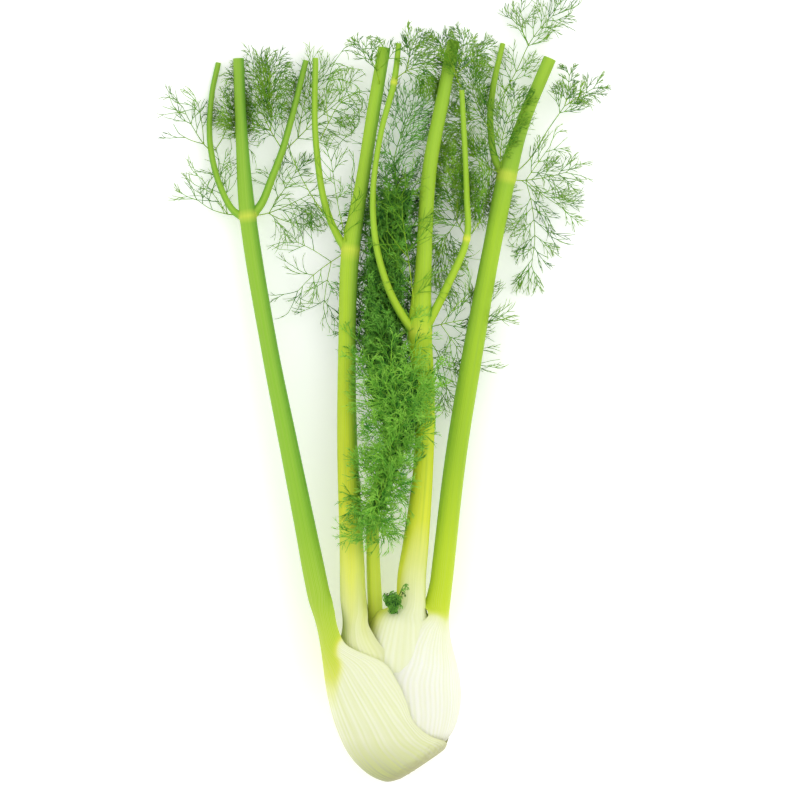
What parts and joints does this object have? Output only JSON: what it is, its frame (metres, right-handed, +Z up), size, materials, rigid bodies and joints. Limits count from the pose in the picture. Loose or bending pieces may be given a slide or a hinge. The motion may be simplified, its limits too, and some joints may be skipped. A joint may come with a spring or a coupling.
{
  "type": "florence fennel",
  "caption": "Whole Florence fennel lying flat: a ribbed white bulb of wrapped leaf bases, long green stalks and feathery thread-like leaves.",
  "frame": {"origin": "on the table, at the middle of the small flat spot under the bulb on which the fennel lies", "axes": "+Z up from the table, +Y along the stalks from the root end to their cut ends, +X to the right as seen from above with the stalks pointing away"},
  "size_m": [0.2826, 0.4892, 0.0633],
  "materials": {
    "leaf_base_and_stalk": "satin",
    "cut_root": "matte",
    "leaf_threads": "matte",
    "young_leaf_threads": "matte"
  },
  "bodies": {
    "root": {"heart_leaf": "leaf_base_and_stalk", "heart_plume": "young_leaf_threads", "heart_tuft": "young_leaf_threads", "inner_left_branch_spray_east": "leaf_threads", "inner_left_branch_spray_west": "leaf_threads", "inner_left_leaf": "leaf_base_and_stalk", "inner_left_spray_middle": "leaf_threads", "inner_left_spray_west": "leaf_threads", "inner_left_tip_tuft": "leaf_threads", "inner_right_branch_spray_left": "leaf_threads", "inner_right_branch_tip": "leaf_threads", "inner_right_crown": "leaf_threads", "inner_right_crown_east": "leaf_threads", "inner_right_leaf": "leaf_base_and_stalk", "inner_right_spray_east": "leaf_threads", "inner_right_spray_front": "leaf_threads", "inner_right_spray_low": "leaf_threads", "outer_left_branch_spray_east": "leaf_threads", "outer_left_branch_spray_west": "leaf_threads", "outer_left_crown_east": "leaf_threads", "outer_left_crown_west": "leaf_threads", "outer_left_leaf": "leaf_base_and_stalk", "outer_left_spray_east": "leaf_threads", "outer_left_spray_west": "leaf_threads", "outer_right_branch_spray": "leaf_threads", "outer_right_leaf": "leaf_base_and_stalk", "outer_right_long_spray": "leaf_threads", "outer_right_spray_east": "leaf_threads", "outer_right_spray_front": "leaf_threads", "outer_right_spray_west": "leaf_threads", "outer_right_thin_branch": "leaf_threads", "root_plate": "cut_root"}
  },
  "joints": []
}
